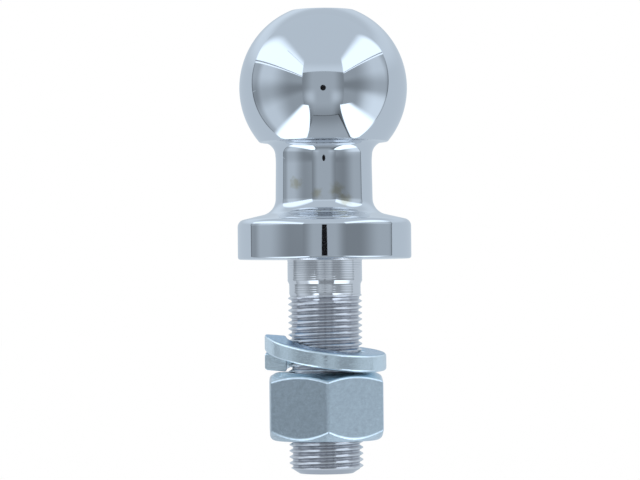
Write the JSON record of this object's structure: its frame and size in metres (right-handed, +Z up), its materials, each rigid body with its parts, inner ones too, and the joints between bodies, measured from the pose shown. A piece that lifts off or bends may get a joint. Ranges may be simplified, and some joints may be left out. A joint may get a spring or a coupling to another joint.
{
  "type": "trailer hitch ball",
  "caption": "Chromed tow ball on a necked, flanged and threaded stud, clamped to a drawbar by a split spring washer and a hexagon nut.",
  "frame": {"origin": "on the stud's axis, in the plane of the flange's underside, which seats on the drawbar", "axes": "+Z up the stud's axis towards the ball; -Y towards the viewer of the picture; +X to the viewer's right"},
  "size_m": [0.0516, 0.0516, 0.1378],
  "materials": {
    "chromed_steel": "polished chrome on the ball, neck and flange; fine turning lines on the shoulder",
    "plated_washer": "bright zinc plate with a blue cast, satin",
    "plated_nut": "bright zinc plate with a blue cast, satin, faintly scratched"
  },
  "bodies": {
    "ball_stud": {"ball_stud": "chromed_steel"},
    "spring_washer": {"spring_washer": "plated_washer"},
    "hex_nut": {"hex_nut": "plated_nut"}
  },
  "joints": [
    {"name": "washer_slide", "type": "slide", "parent": "ball_stud", "child": "spring_washer", "axis": [0, 0, 1], "range_m": [-0.03085, 0.02135]},
    {"name": "nut_turn", "type": "hinge", "parent": "spring_washer", "child": "hex_nut", "pos_m": [0, 0, -0.04375], "axis": [0, 0, 1], "range_deg": [-6120, 4230]}
  ],
  "couplings": [
    {"joint": "washer_slide", "follows": "nut_turn", "m_per_rad": 0.00028875}
  ]
}
